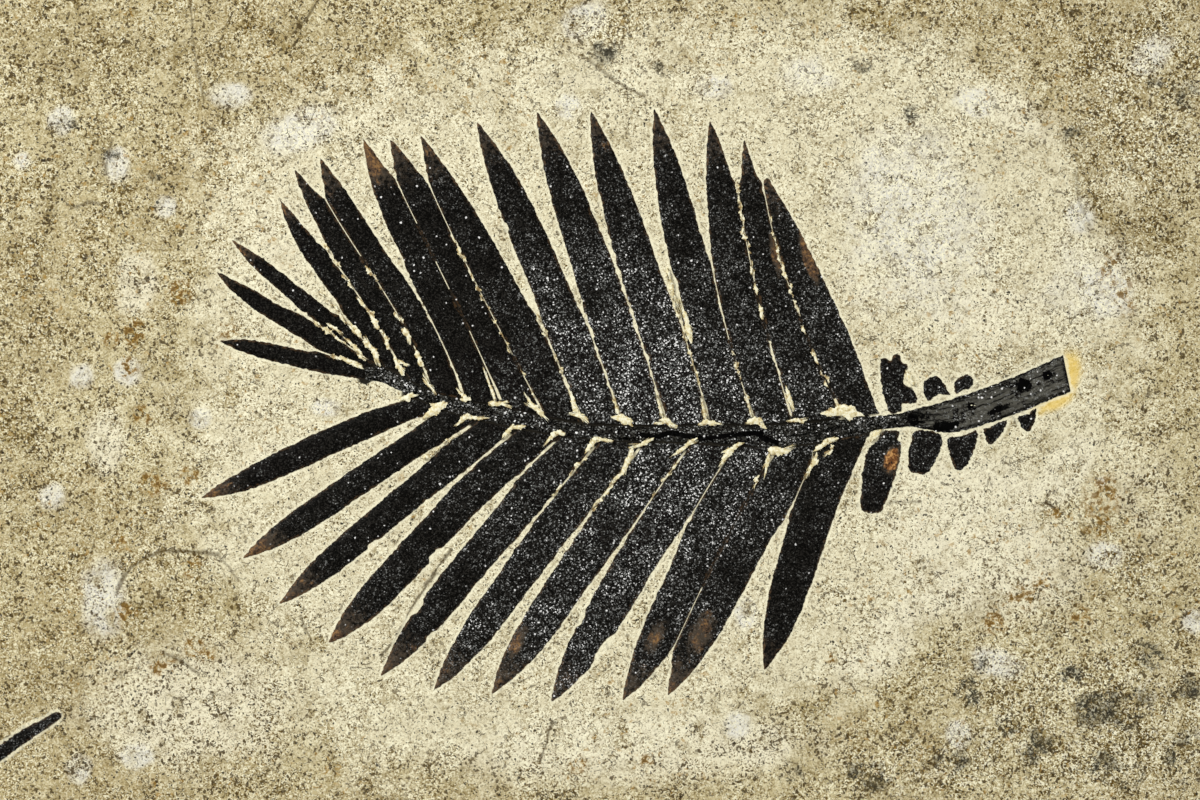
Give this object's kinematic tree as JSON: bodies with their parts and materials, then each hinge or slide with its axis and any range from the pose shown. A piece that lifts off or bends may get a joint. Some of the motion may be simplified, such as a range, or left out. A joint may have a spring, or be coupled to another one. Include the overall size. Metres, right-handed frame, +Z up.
{
  "type": "fossil cycad leaf plate",
  "caption": "Slab of pale limestone with a carbonised feather-shaped cycad leaf lying in a shallow basin on its upper face.",
  "frame": {"origin": "centre of the slab's sawn underside", "axes": "+Z up out of the leaf face, +X along the leaf from its apex to its broken stalk, +Y towards the upper row of leaflets"},
  "size_m": [0.266, 0.184, 0.0169],
  "materials": {
    "limestone": "fine-grained matt stone",
    "midrib_carbon": "coaly, cracked, half-glossy",
    "leaflet_carbon": "thin coaly film with glints",
    "torn_carbon": "thin torn coaly film"
  },
  "bodies": {
    "root": {"stone_plate": "limestone", "rachis": "midrib_carbon", "leaflet_upper_01": "leaflet_carbon", "leaflet_upper_02": "leaflet_carbon", "leaflet_upper_03": "leaflet_carbon", "leaflet_upper_04": "leaflet_carbon", "leaflet_upper_05": "leaflet_carbon", "leaflet_upper_06": "leaflet_carbon", "leaflet_upper_07": "leaflet_carbon", "leaflet_upper_08": "leaflet_carbon", "leaflet_upper_09": "leaflet_carbon", "leaflet_upper_10": "leaflet_carbon", "leaflet_upper_11": "leaflet_carbon", "leaflet_upper_12": "leaflet_carbon", "leaflet_upper_13": "leaflet_carbon", "leaflet_upper_14": "leaflet_carbon", "leaflet_upper_15": "leaflet_carbon", "leaflet_upper_16": "leaflet_carbon", "leaflet_lower_01": "leaflet_carbon", "leaflet_lower_02": "leaflet_carbon", "leaflet_lower_03": "leaflet_carbon", "leaflet_lower_04": "leaflet_carbon", "leaflet_lower_05": "leaflet_carbon", "leaflet_lower_06": "leaflet_carbon", "leaflet_lower_07": "leaflet_carbon", "leaflet_lower_08": "leaflet_carbon", "leaflet_lower_09": "leaflet_carbon", "leaflet_lower_10": "leaflet_carbon", "leaflet_lower_11": "leaflet_carbon", "leaflet_stub_upper_1": "torn_carbon", "leaflet_stub_upper_2": "torn_carbon", "leaflet_stub_upper_3": "torn_carbon", "leaflet_stub_lower_1": "torn_carbon", "leaflet_stub_lower_2": "torn_carbon", "leaflet_stub_lower_3": "torn_carbon", "leaflet_stub_lower_4": "torn_carbon", "leaflet_stub_lower_5": "torn_carbon", "loose_leaf_fragment": "torn_carbon"}
  },
  "joints": []
}
